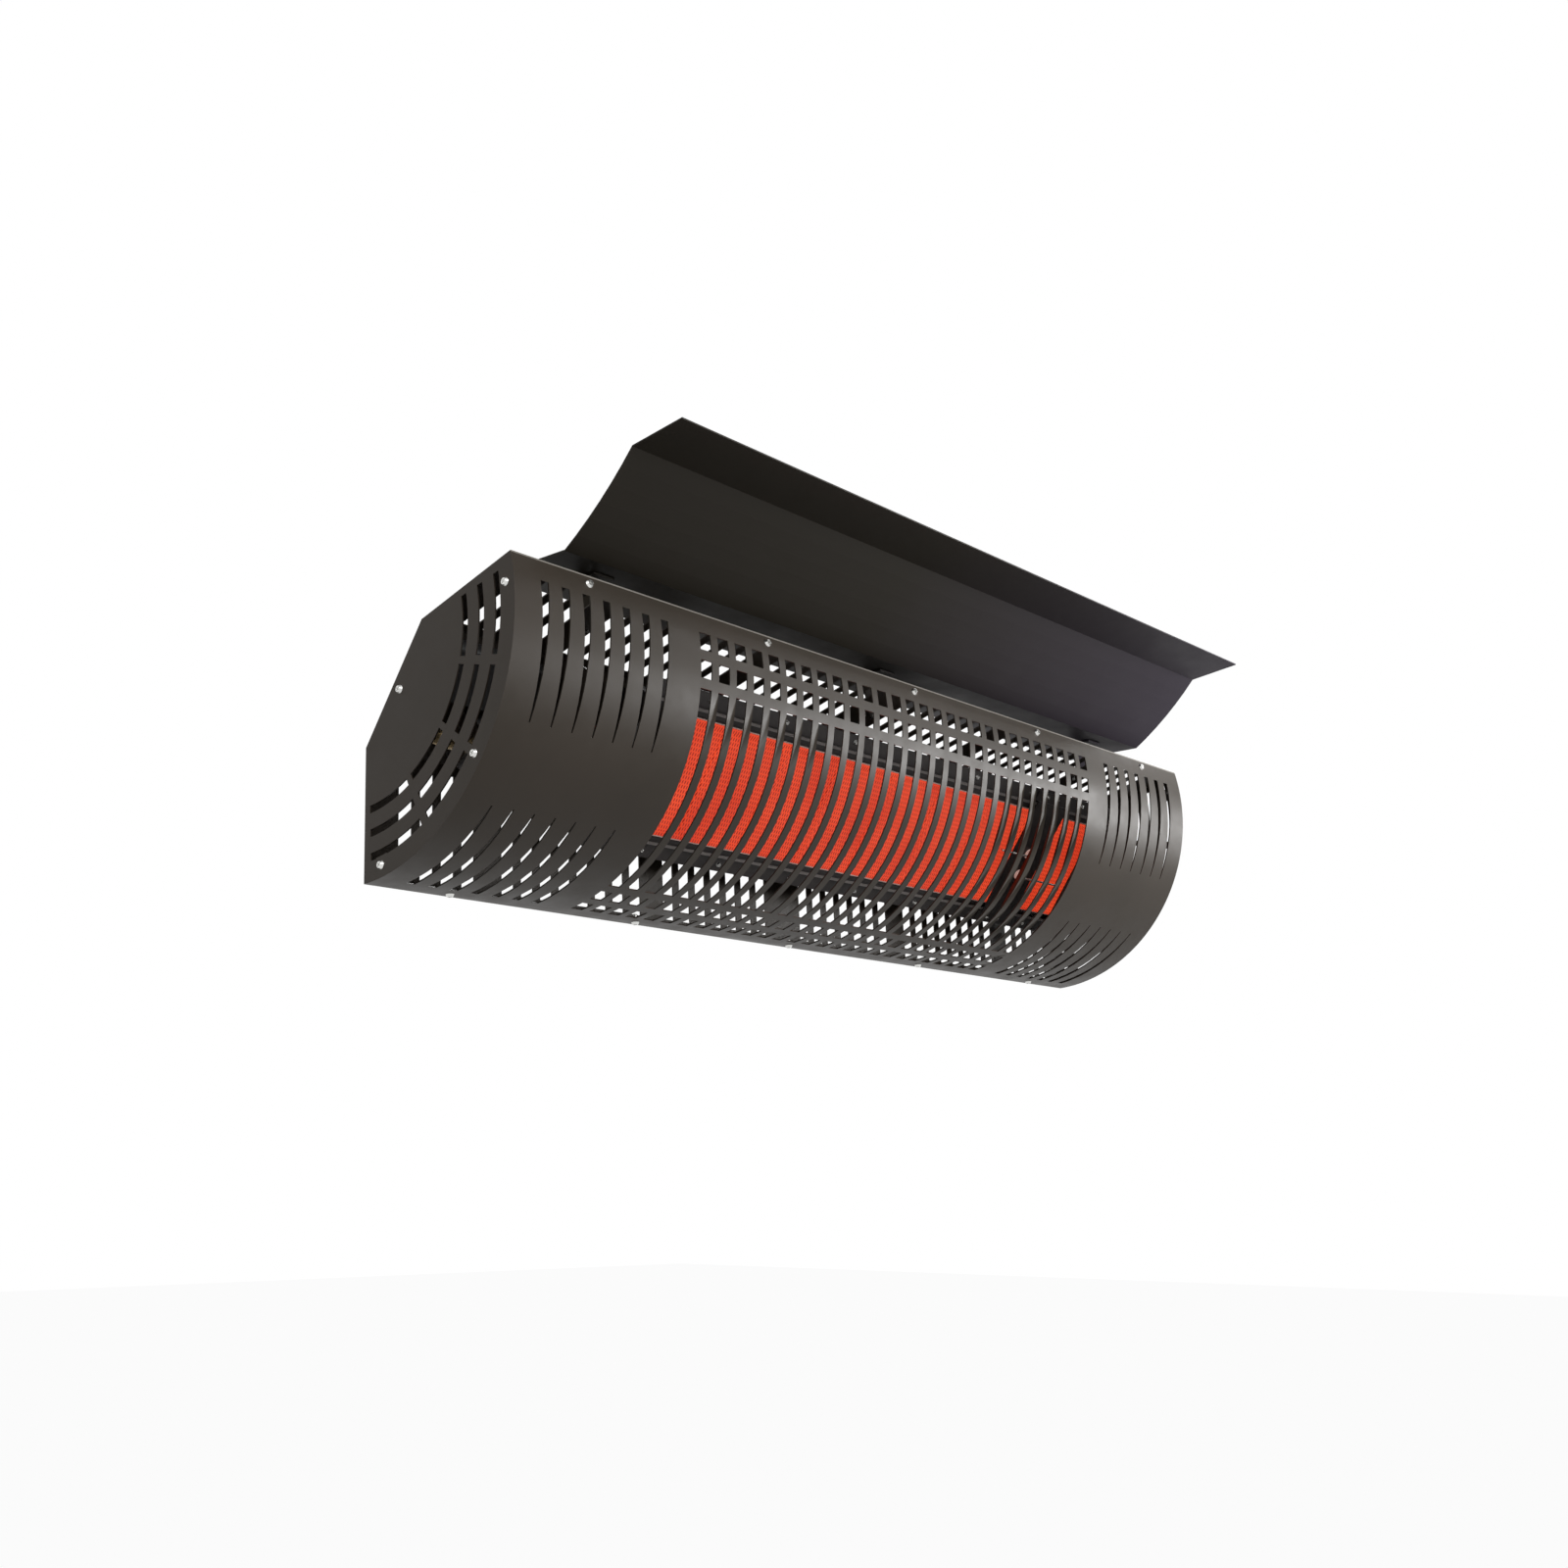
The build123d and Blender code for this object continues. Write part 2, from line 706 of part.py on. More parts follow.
# Burner housing: a pan with a front flange, a ledge for the tiles and an electrode tunnel
pan_length = burner_length + 2 * rim
pan_height = tile_height + 2 * rim
tunnel_up = sum(electrode_offsets) / 2
ledge_out = -tile_thickness - gasket
with BuildPart() as burner_housing:
    slab(burner_middle, 0, -housing_depth, pan_length, pan_height, housing_depth - flange_setback)
    slab(
        burner_middle,
        0,
        housing_wall - housing_depth,
        pan_length - 2 * housing_wall,
        pan_height - 2 * housing_wall,
        housing_depth,
        Mode.SUBTRACT,
    )
    with BuildSketch(facing(-flange_setback - housing_wall)):
        with Locations((burner_middle, 0)):
            Rectangle(pan_length + 2 * flange_end_margin, 2 * flange_half_height)
            Rectangle(pan_length - housing_wall, pan_height - housing_wall, mode=Mode.SUBTRACT)
        for screw_x in frame_screw_xs + bridge_screw_xs:
            with Locations((screw_x, frame_screw_position), (screw_x, -frame_screw_position)):
                Circle(screw_shank_radius, mode=Mode.SUBTRACT)
    extrude(amount=housing_wall)
    with BuildSketch(facing(ledge_out - housing_wall)):
        with Locations((burner_middle, 0)):
            Rectangle(pan_length - housing_wall, pan_height - housing_wall)
        with Locations((long_start + long_block / 2, 0)):
            Rectangle(long_block - 2 * tile_ledge, tile_height - 2 * tile_ledge, mode=Mode.SUBTRACT)
        with Locations((short_start + short_block / 2, 0)):
            Rectangle(short_block - 2 * tile_ledge, tile_height - 2 * tile_ledge, mode=Mode.SUBTRACT)
    extrude(amount=housing_wall)
    tunnel_depth = housing_depth + ledge_out
    slab(electrode_x, tunnel_up, -housing_depth, tunnel_length, tunnel_height, tunnel_depth)
    slab(
        electrode_x,
        tunnel_up,
        -housing_depth,
        tunnel_length - 2 * housing_wall,
        tunnel_height - 2 * housing_wall,
        housing_depth,
        Mode.SUBTRACT,
    )
    bar_x(housing_start - 1, mixer_offset, -mixer_setback, mixer_seat, rim, Mode.SUBTRACT)
finish(burner_housing.part, "burner_housing")

# Ceramic tiles, each a separate block
for tiles_name, tiles_start, tile_count in (
    ("tiles_long_block", long_start, tiles_in_long_block),
    ("tile_short_block", short_start, tiles_in_short_block),
):
    with BuildPart() as tiles:
        for index in range(tile_count):
            tile_x = tiles_start + tile_width / 2 + index * (tile_width + tile_joint)
            slab(tile_x, 0, -tile_thickness, tile_width, tile_height, tile_thickness)
            field_width = tile_width - 2 * tile_border
            field_height = tile_height - 2 * tile_border
            slab(tile_x, 0, -tile_recess, field_width, field_height, 2 * tile_recess, Mode.SUBTRACT)
    finish(tiles.part, tiles_name)

# Fibre gasket: a pad under the tiles' edges and an upright rim round both blocks
with BuildPart() as tile_gasket:
    with BuildSketch(facing(ledge_out)):
        with Locations((burner_middle, 0)):
            Rectangle(burner_length + 2 * gasket, tile_height + 2 * gasket)
        for start, length in ((long_start, long_block), (short_start, short_block)):
            with Locations((start + length / 2, 0)):
                Rectangle(length - 2 * tile_ledge, tile_height - 2 * tile_ledge, mode=Mode.SUBTRACT)
        with Locations((electrode_x, tunnel_up)):
            Rectangle(tunnel_length, tunnel_height, mode=Mode.SUBTRACT)
    extrude(amount=gasket)
    with BuildSketch(facing(-tile_thickness)):
        with Locations((burner_middle, 0)):
            Rectangle(burner_length + 2 * gasket, tile_height + 2 * gasket)
            Rectangle(burner_length, tile_height, mode=Mode.SUBTRACT)
    extrude(amount=tile_thickness - flange_setback)
finish(tile_gasket.part, "tile_gasket")

# Frame over the flange: an edge beside the tiles, a raised bead and a lip over each end
frame_out = -flange_setback
with BuildPart() as burner_frame:
    with BuildSketch(facing(frame_out)):
        with Locations((burner_middle, 0)):
            Rectangle(pan_length + 2 * flange_end_margin, 2 * flange_half_height)
            Rectangle(burner_length + fit_gap, tile_height + 2 * fit_gap, mode=Mode.SUBTRACT)
        for screw_x in frame_screw_xs + bridge_screw_xs:
            with Locations((screw_x, frame_screw_position), (screw_x, -frame_screw_position)):
                Circle(screw_shank_radius, mode=Mode.SUBTRACT)
    extrude(amount=frame_sheet)
    for side in (-1, 1):
        slab(
            burner_middle,
            side * frame_bead_position,
            frame_out,
            pan_length + 2 * flange_end_margin,
            frame_bead_width,
            frame_bead_height,
        )
        edge_up = side * (tile_height / 2 + fit_gap + frame_sheet / 2)
        slab(burner_middle, edge_up, frame_out, burner_length, frame_sheet, flange_setback)
        end_x = burner_middle + side * (burner_length / 2 + frame_sheet - frame_end_lip / 2)
        slab(end_x, 0, fit_gap, frame_end_lip, 2 * frame_bead_position, frame_sheet)
        wall_x = burner_middle + side * (burner_length / 2 + fit_gap + frame_sheet / 2)
        slab(wall_x, 0, frame_out, frame_sheet, 2 * frame_bead_position, flange_setback + fit_gap)
finish(burner_frame.part, "burner_frame")

with BuildPart() as frame_screws:
    for screw_x in frame_screw_xs:
        for side in (-1, 1):
            spot = place(screw_x, side * frame_screw_position, frame_out + frame_sheet)
            add_screw(Plane(origin=spot, x_dir=(1, 0, 0), z_dir=out_axis), frame_screw_radius)
finish(frame_screws.part, "frame_screws")

# Perforated baffle that spreads the gas and air behind the tiles
baffle_out = ledge_out - housing_wall - baffle_gap
baffle_length = long_block - 2 * tile_ledge
baffle_columns = int(baffle_length / baffle_hole_pitch) - 1
with BuildPart() as baffle_plate:
    with BuildSketch(facing(baffle_out)):
        with Locations((long_start + long_block / 2, 0)):
            Rectangle(baffle_length, tile_height + 2 * gasket)
            with GridLocations(baffle_hole_pitch, baffle_hole_pitch, baffle_columns, baffle_hole_rows):
                Circle(baffle_hole_radius, mode=Mode.SUBTRACT)
    extrude(amount=baffle_thickness)
finish(baffle_plate.part, "baffle_plate")

# Mixing tube: bell mouth, throat and widening outlet, turned about its own axis
mixer_axis = Axis(tuple(place(0, mixer_offset, -mixer_setback)), (1, 0, 0))
mixer_points = (
    (mouth_x, mixer_mouth_radius),
    (mouth_x + mixer_mouth_length, mixer_throat_radius),
    (mouth_x + 2 * mixer_mouth_length, mixer_throat_radius),
    (mouth_x + mixer_length, mixer_outlet_radius),
)
with BuildPart() as mixing_tube:
    lathe = Plane(origin=place(0, mixer_offset, -mixer_setback), x_dir=(1, 0, 0), z_dir=out_axis)
    with BuildSketch(lathe):
        with BuildLine():
            inner = Polyline(*mixer_points)
            outer = Polyline(*[(x, radius + mixer_wall) for x, radius in mixer_points])
            Line(inner @ 0, outer @ 0)
            Line(inner @ 1, outer @ 1)
        make_face()
    revolve(axis=mixer_axis)
    # Collar that closes the hole in the housing's end wall
    with BuildSketch(section(housing_start - housing_wall)):
        with Locations((mixer_offset, -mixer_setback)):
            Circle(mixer_seat + 2 * gasket)
            Circle(mixer_throat_radius + mixer_wall / 2, mode=Mode.SUBTRACT)
    extrude(amount=housing_wall)
finish(mixing_tube.part, "mixing_tube")

# Injector: six-sided brass body with a tapered tip and a fine bore
with BuildPart() as injector:
    with BuildSketch(section(body_x)):
        with Locations((mixer_offset, -mixer_setback)):
            RegularPolygon(injector_radius, 6)
    extrude(amount=injector_length)
    with BuildSketch(section(tip_x - injector_tip_length)):
        with Locations((mixer_offset, -mixer_setback)):
            Circle(injector_tip_radius + 1)
    extrude(amount=injector_tip_length, taper=8)
    bar_x(tip_x - injector_length, mixer_offset, -mixer_setback, injector_bore_radius,
          2 * injector_length, Mode.SUBTRACT)
finish(injector.part, "injector")

with BuildPart() as injector_pipe:
    bar_x(body_x - injector_pipe_length, mixer_offset, -mixer_setback, injector_pipe_radius,
          injector_pipe_length)
finish(injector_pipe.part, "injector_pipe")

# Gas valve with two solenoid coils on a bracket
valve_back = -mixer_setback - valve_depth / 2
with BuildPart() as gas_valve:
    slab(valve_x, mixer_offset, valve_back, valve_length, valve_height, valve_depth)
    chamfer(gas_valve.edges().filter_by(GeomType.LINE).group_by(Axis.X)[-1], 3)
    cap_up = mixer_offset - valve_height / 2 + 1.5 * valve_cap_radius
    bar_out(valve_x, cap_up, valve_back + valve_depth, valve_cap_radius, valve_cap_height)
finish(gas_valve.part, "gas_valve")

with BuildPart() as valve_coils:
    for side in (-1, 1):
        coil_x = valve_x + side * coil_pitch / 2
        bar_out(coil_x, mixer_offset, valve_back + valve_depth, coil_radius, coil_height)
finish(valve_coils.part, "valve_coils")

with BuildPart() as valve_bracket:
    slab(valve_x, mixer_offset, -inner_back, valve_length, valve_height, inner_back + valve_back)
    slab(
        valve_x,
        mixer_offset,
        -inner_back,
        valve_length - 2 * support_sheet,
        valve_height,
        inner_back + valve_back - support_sheet,
        Mode.SUBTRACT,
    )
finish(valve_bracket.part, "valve_bracket")

# Gas inlet: a bent pipe from the valve to a threaded end behind the cage
inlet_end = -rear_depth - inlet_nut_height - inlet_thread_length
with BuildPart() as gas_inlet:
    with BuildLine() as inlet_path:
        FilletPolyline(
            place(valve_start, mixer_offset, -mixer_setback),
            place(inlet_x, mixer_offset, -mixer_setback),
            place(inlet_x, mixer_offset, -rear_depth),
            radius=inlet_pipe_radius * 1.5,
        )
    with BuildSketch(Plane(origin=inlet_path.line @ 0, z_dir=inlet_path.line % 0)):
        Circle(inlet_pipe_radius)
    sweep()
    bar_out(inlet_x, mixer_offset, inlet_end, inlet_thread_radius, rear_depth + abs(inlet_end + rear_depth) - inner_back + 2 * sheet)
    with BuildSketch(facing(-rear_depth - inlet_nut_height)):
        with Locations((inlet_x, mixer_offset)):
            RegularPolygon(inlet_nut_radius, 6)
    extrude(amount=inlet_nut_height)
    bar_out(inlet_x, mixer_offset, inlet_end, inlet_bore_radius, inlet_thread_length, Mode.SUBTRACT)
finish(gas_inlet.part, "gas_inlet")

# Ignition control: a base with terminals and a folded cover
ignition_x = -half_length + ignition_end_margin + ignition_length / 2 + sheet
with BuildPart() as ignition_control:
    slab(ignition_x, ignition_offset, -inner_back, ignition_length, ignition_width,
         ignition_height - ignition_cover_height)
finish(ignition_control.part, "ignition_control")

with BuildPart() as ignition_cover:
    cover_out = -inner_back + ignition_height - ignition_cover_height
    slab(ignition_x, ignition_offset, cover_out, ignition_length, ignition_width,
         ignition_cover_height)
    fillet(ignition_cover.edges().group_by(Axis.Y)[0], 2)
finish(ignition_cover.part, "ignition_cover")

with BuildPart() as cable_gland:
    bar_out(gland_x, ignition_offset, -inner_back, gland_thread_radius, -sheet)
    with BuildSketch(facing(-rear_depth - gland_length / 2)):
        with Locations((gland_x, ignition_offset)):
            RegularPolygon(gland_radius, 6)
    extrude(amount=gland_length / 2)
    bar_out(gland_x, ignition_offset, -rear_depth - gland_length, gland_radius * cos(pi / 6),
            gland_length / 2)
    bar_out(gland_x, ignition_offset, -rear_depth - gland_length, gland_bore_radius,
            gland_length, Mode.SUBTRACT)
finish(cable_gland.part, "cable_gland")

# Bridge over the gap between the tile blocks, which holds the two electrodes
bridge_half = frame_bead_position + frame_bead_width / 2 + fit_gap + frame_sheet
bridge_out = frame_out + frame_bead_height + fit_gap
foot_out = frame_out + frame_sheet
with BuildPart() as electrode_bridge:
    bridge_line = [
        (-bridge_half - bridge_foot, foot_out),
        (-bridge_half, foot_out),
        (-bridge_half, bridge_out),
        (bridge_half, bridge_out),
        (bridge_half, foot_out),
        (bridge_half + bridge_foot, foot_out),
    ]
    with BuildSketch(section(electrode_x - bridge_width / 2)):
        add(bent_strip(bridge_line, frame_sheet))
    extrude(amount=bridge_width)
    for up in electrode_offsets:
        bar_out(electrode_x, up, 0, insulator_radius + fit_gap, 2 * bridge_out + 2, Mode.SUBTRACT)
    with BuildSketch(facing(foot_out)):
        with Locations((electrode_x, 0)):
            with GridLocations(bridge_screw_spacing, 2 * frame_screw_position, 2, 2):
                Circle(screw_shank_radius)
    extrude(amount=2 * frame_sheet, mode=Mode.SUBTRACT)
finish(electrode_bridge.part, "electrode_bridge")

with BuildPart() as bridge_screws:
    for screw_x in bridge_screw_xs:
        for side in (-1, 1):
            spot = place(screw_x, side * frame_screw_position, foot_out + frame_sheet)
            add_screw(Plane(origin=spot, x_dir=(1, 0, 0), z_dir=out_axis), frame_screw_radius)
finish(bridge_screws.part, "bridge_screws")

bridge_front = bridge_out + frame_sheet
with BuildPart() as electrode_insulators:
    for up in electrode_offsets:
        bar_out(electrode_x, up, -insulator_back, insulator_radius, insulator_back + insulator_front)
        bar_out(electrode_x, up, bridge_front, insulator_collar_radius, insulator_front / 2)
        bar_out(electrode_x, up, -insulator_back - 1, rod_radius, 2 * insulator_back, Mode.SUBTRACT)
finish(electrode_insulators.part, "electrode_insulators")

# Electrode rods bend out of their insulators and run in front of the tiles
for rod_name, rod_up, rod_side in (
    ("ignition_electrode", electrode_offsets[0], -1),
    ("sensing_electrode", electrode_offsets[1], 1),
):
    with BuildPart() as electrode_rod:
        with BuildLine() as rod_path:
            FilletPolyline(
                place(electrode_x, rod_up, -insulator_back - rod_tail),
                place(electrode_x, rod_up, rod_stand_off),
                place(electrode_x + rod_side * rod_reach, rod_up, rod_stand_off),
                radius=rod_bend,
            )
        with BuildSketch(Plane(origin=rod_path.line @ 0, z_dir=rod_path.line % 0)):
            Circle(rod_radius)
        sweep()
    finish(electrode_rod.part, rod_name)

# Leads along the back of the housing, each with a boot on its electrode
lead_start_x = ignition_x + ignition_length / 2
lead_out = -inner_back + ignition_height / 2
lead_starts = (ignition_offset - lead_spacing / 2, ignition_offset - 3 * lead_spacing / 2)
boot_out = -insulator_back - rod_tail
for lead_name, lead_up, start_up in (
    ("ignition_lead", electrode_offsets[0], lead_starts[0]),
    ("sensing_lead", electrode_offsets[1], lead_starts[1]),
):
    with BuildPart() as lead:
        with BuildLine() as lead_path:
            FilletPolyline(
                place(lead_start_x, start_up, lead_out),
                place(shield_x + shield_lead_gap, start_up, lead_out),
                place(housing_start - lead_end_gap, lead_up, -lead_lane),
                place(electrode_x, lead_up, -lead_lane),
                place(electrode_x, lead_up, boot_out),
                radius=lead_bend,
            )
        with BuildSketch(Plane(origin=lead_path.line @ 0, z_dir=lead_path.line % 0)):
            Circle(lead_radius)
        sweep()
        bar_out(electrode_x, lead_up, boot_out - lead_boot_length / 2, lead_boot_radius,
                lead_boot_length)
        bar_out(electrode_x, lead_up, boot_out, rod_radius, lead_boot_length, Mode.SUBTRACT)
    finish(lead.part, lead_name)

# Heat shield between the gas compartment and the burner
with BuildPart() as heat_shield:
    with BuildSketch(section(shield_x)):
        Polygon(
            (-half_back + 2 * sheet, -inner_back),
            (half_back - 2 * sheet, -inner_back),
            (shield_half_height, -inner_back + shield_foot),
            (shield_half_height, 0),
            (-shield_half_height, 0),
            (-shield_half_height, -inner_back + shield_foot),
            align=None,
        )
        with Locations((mixer_offset, -mixer_setback)):
            Circle(injector_pipe_radius + gasket, mode=Mode.SUBTRACT)
        with Locations(*[(start_up, lead_out) for start_up in lead_starts]):
            Circle(lead_radius + gasket, mode=Mode.SUBTRACT)
    extrude(amount=sheet)
    slab(shield_x + shield_foot / 2, 0, -inner_back, shield_foot, back_width - 8 * sheet, sheet)
finish(heat_shield.part, "heat_shield")

# Channel supports between the back of the cage and the housing, with holes for the leads
support_height = inner_back - housing_depth
for support_name, support_x in zip(("left", "middle", "right"), support_positions):
    with BuildPart() as burner_support:
        slab(support_x, 0, -inner_back, support_width, 2 * support_half_height, support_height)
        slab(
            support_x,
            0,
            -inner_back,
            support_width - 2 * support_sheet,
            2 * support_half_height,
            support_height - support_sheet,
            Mode.SUBTRACT,
        )
        for side in (-1, 1):
            foot_x = support_x + side * (support_width + support_foot - support_sheet) / 2
            slab(foot_x, 0, -inner_back, support_foot + support_sheet, 2 * support_half_height,
                 support_sheet)
            for half in (-1, 1):
                bar_out(support_x + side * support_screw_x, half * support_screw_up, -rear_depth,
                        screw_shank_radius, 2 * sheet + support_sheet, Mode.SUBTRACT)
        for up in electrode_offsets:
            bar_x(support_x - support_width, up, -lead_lane, lead_radius + 2 * fit_gap,
                  2 * support_width, Mode.SUBTRACT)
    finish(burner_support.part, f"burner_support_{support_name}")

with BuildPart() as support_screws:
    for support_x in support_positions:
        for side in (-1, 1):
            for half in (-1, 1):
                spot = place(support_x + side * support_screw_x, half * support_screw_up, -rear_depth)
                add_screw(Plane(origin=spot, x_dir=(1, 0, 0), z_dir=-out_axis))
finish(support_screws.part, "support_screws")

# Wall bracket: a plate with two arms, each with a pivot hole and a curved slot
lock_angles = (90 + tilt_at_rest - tilt_less, 90 + tilt_at_rest + tilt_more)
wall_y = -wall_plate_sheet
with BuildPart() as wall_bracket:
    with BuildSketch(Plane.XZ):
        RectangleRounded(wall_plate_length, wall_plate_height, wall_plate_corner)
        with GridLocations(wall_hole_spacing_x, wall_hole_spacing_z, 2, 2):
            Circle(wall_hole_radius, mode=Mode.SUBTRACT)
    extrude(amount=wall_plate_sheet)
    for side in (-1, 1):
        arm_plane = Plane(
            origin=(side * arm_spacing / 2 - arm_sheet / 2, 0, 0), x_dir=(0, 1, 0), z_dir=(1, 0, 0)
        )
        with BuildSketch(arm_plane):
            with BuildSketch(mode=Mode.PRIVATE) as arm_corners:
                with Locations((wall_y, 0)):
                    Rectangle(2 * arm_sheet, arm_root_height, align=(Align.MAX, Align.CENTER))
                with Locations((-arm_reach, 0)):
                    Circle(pivot_eye_radius)
                    with PolarLocations(lock_distance, 2, lock_angles[0], tilt_less + tilt_more,
                                        endpoint=True):
                        Circle(lock_eye_radius)
            make_hull(arm_corners.sketch.edges())
            with Locations((-arm_reach, 0)):
                Circle(pivot_radius + pivot_clearance, mode=Mode.SUBTRACT)
                add(
                    sector_about(lock_distance, lock_radius + lock_clearance, lock_angles[0] - 1,
                                 lock_angles[1] + 1),
                    mode=Mode.SUBTRACT,
                )
        extrude(amount=arm_sheet)
finish(wall_bracket.part, "wall_bracket")

# Tilt lugs on the back of the cage, outside the arms
lug_inner = arm_spacing / 2 + arm_sheet / 2 + side_gap
for lug_name, side in (("tilt_lug_left", -1), ("tilt_lug_right", 1)):
    with BuildPart() as tilt_lug:
        lug_start = side * lug_inner - (lug_sheet if side < 0 else 0)
        with BuildSketch(section(lug_start)):
            with BuildSketch(mode=Mode.PRIVATE) as lug_corners:
                with Locations((0, -rear_depth)):
                    Rectangle(2 * lug_half_base, lug_sheet, align=(Align.CENTER, Align.MAX))
                with Locations((0, -pivot_setback)):
                    Circle(pivot_eye_radius - 2)
                with Locations((lock_distance, -pivot_setback)):
                    Circle(lock_eye_radius)
            make_hull(lug_corners.sketch.edges())
            with Locations((0, -pivot_setback)):
                Circle(pivot_radius + pivot_clearance, mode=Mode.SUBTRACT)
            with Locations((lock_distance, -pivot_setback)):
                Circle(lock_radius, mode=Mode.SUBTRACT)
        extrude(amount=lug_sheet)
        flange_x = side * (lug_inner + (lug_sheet + lug_flange) / 2)
        slab(flange_x, 0, -rear_depth - lug_sheet, lug_sheet + lug_flange, 2 * lug_half_base, lug_sheet)
        for half in (-1, 1):
            bar_out(side * lug_middle_x, half * lug_bolt_offset, -rear_depth - 2 * lug_sheet,
                    lug_bolt_radius, 3 * lug_sheet, Mode.SUBTRACT)
    finish(tilt_lug.part, lug_name)

# Bolts: pivots stay with the bracket, locks and lug bolts turn with the heater
arm_inner = arm_spacing / 2 - arm_sheet / 2
with BuildPart() as pivot_bolts:
    for side in (-1, 1):
        add_bolt(side, 0, -pivot_setback, pivot_radius, arm_inner, lug_inner + lug_sheet + side_gap)
finish(pivot_bolts.part, "pivot_bolts")

with BuildPart() as lock_bolts:
    for side in (-1, 1):
        add_bolt(side, lock_distance, -pivot_setback, lock_radius, arm_inner - side_gap,
                 lug_inner + lug_sheet)
finish(lock_bolts.part, "lock_bolts")

with BuildPart() as lug_bolts:
    for side in (-1, 1):
        for half in (-1, 1):
            x, up = side * lug_middle_x, half * lug_bolt_offset
            head_out = -rear_depth - lug_sheet
            with BuildSketch(facing(head_out - lug_bolt_radius)) as head:
                with Locations((x, up)):
                    RegularPolygon(2 * lug_bolt_radius, 6)
            extrude(head.sketch, amount=lug_bolt_radius)
            bar_out(x, up, head_out, lug_bolt_radius, lug_sheet + sheet + 2 * lug_bolt_radius)
            with BuildSketch(facing(-inner_back)) as nut:
                with Locations((x, up)):
                    RegularPolygon(2 * lug_bolt_radius, 6)
            extrude(nut.sketch, amount=lug_bolt_radius)
finish(lug_bolts.part, "lug_bolts")
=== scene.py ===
"""Looks, light and camera of the ceramic radiant heater, in metres.

Every shape comes from the CAD model. This script adds the materials, a plain
studio and the camera.
"""
import json
import math

import bpy
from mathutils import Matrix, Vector

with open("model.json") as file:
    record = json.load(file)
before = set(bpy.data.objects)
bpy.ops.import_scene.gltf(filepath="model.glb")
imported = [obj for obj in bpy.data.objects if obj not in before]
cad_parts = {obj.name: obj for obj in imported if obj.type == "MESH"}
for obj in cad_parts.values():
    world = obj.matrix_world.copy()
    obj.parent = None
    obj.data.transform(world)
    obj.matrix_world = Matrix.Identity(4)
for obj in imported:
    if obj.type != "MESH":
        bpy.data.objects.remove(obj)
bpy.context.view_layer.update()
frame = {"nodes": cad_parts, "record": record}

# The cage leans forward: its centre and its own up and out directions
TILT_DEGREES = 35
TILT = math.radians(TILT_DEGREES)
UP = Vector((0, -math.sin(TILT), math.cos(TILT)))
OUT = Vector((0, -math.cos(TILT), -math.sin(TILT)))
PIVOT = Vector((0, -0.170, 0))
CENTRE_FROM_PIVOT = 0.142
CENTRE = PIVOT + OUT * CENTRE_FROM_PIVOT

# Noise values between which a cloud runs from its low to its high tone
CLOUD_LOW = 0.3
CLOUD_HIGH = 0.7
GRAIN_DETAIL = 2

# Paint
PAINT_CLOUD_SCALE = 9
PAINT_ROUGH_SCALE = 40
PAINT_ROUGH_SPREAD = 0.05
PAINT_SPECULAR = 0.17
PEEL_SCALE = 1400
PEEL_STRENGTH = 0.35
PEEL_DEPTH = 0.00006
# Distance from the middle beyond which both long edges carry a painted highlight
EDGE_HIGHLIGHT_HEIGHT = 0.1690

# Deflector, which turns bluish towards its right end
DEFLECTOR_LEFT = (0.0225, 0.0185, 0.0130)
DEFLECTOR_RIGHT = (0.0520, 0.0425, 0.0580)
DEFLECTOR_CHANGE_START = -0.1
DEFLECTOR_CHANGE_END = 0.5
DEFLECTOR_ROUGH_SCALE = 25
DEFLECTOR_ROUGH = (0.46, 0.54)
DEFLECTOR_SPECULAR = 0.12
DEFLECTOR_PEEL_STRENGTH = 0.3
DEFLECTOR_PEEL_DEPTH = 0.00005

# Burner frame: heights above and below the tiles' middle, and distance behind their face
FRAME_FRONT = -0.0010
FRAME_RIM = (0.0655, 0.0685)
FRAME_RIM_COLOUR = (0.75, 0.50, 0.44)
FRAME_BEAD = (0.074, 0.078)
FRAME_BEAD_COLOUR = (0.20, 0.18, 0.17)

# Bare metal, plastic and ceramic
METAL_ROUGH_SPREAD = 0.06
METAL_GRAIN_SCALE = 900
BUMP_STRENGTH = 0.3
# Strength of the painted glow that stands in for the tiles' red light on the insulators
CERAMIC_PAINTED_GLOW_STRENGTH = 0.6

# Glowing tiles
HOLE_PITCH = 0.0036
HOLE_EDGE = (0.15, 0.55)
HOLE_DEPTH = 0.0006
HOLE_STRENGTH = 0.5
HOLE_GLOW = (0.26, 0.010, 0.005)
GLOW_SCALE = 14
GLOW_DETAIL = 4
GLOW_LOW = (0.70, 0.042, 0.012)
GLOW_HIGH = (0.90, 0.075, 0.022)
GLOW_STRENGTH = 0.9
TILE_LOW = (0.10, 0.025, 0.018)
TILE_HIGH = (0.13, 0.035, 0.025)

# Studio
FLOOR_HEIGHT = -2.2
FLOOR_SIZE = 60
FLOOR_TONES = (0.24, 0.26)
FLOOR_WHITE_SHARE = 0.96
WORLD_LIGHT = 0.25
WORLD_EXTRA_WHEN_SEEN = 0.75
HEATER_MIDDLE = (0.1, -0.35, -0.1)
LAMPS = (
    # name, place, aim, width and height, watts
    ("key", (2.4, -2.3, 0.2), HEATER_MIDDLE, (1.6, 0.8), 72),
    ("high", (2.0, -1.5, 1.6), HEATER_MIDDLE, (1.4, 1.0), 28),
    ("front", (-0.9, -2.6, 1.4), (-0.1, -0.35, -0.1), (1.6, 1.0), 20),
    ("side", (-2.8, -0.2, 0.7), (-0.5, -0.3, -0.1), (1.2, 1.2), 9),
    ("back", (1.2, 1.4, 1.8), (0, -0.2, 0), (1.6, 1.0), 30),
)

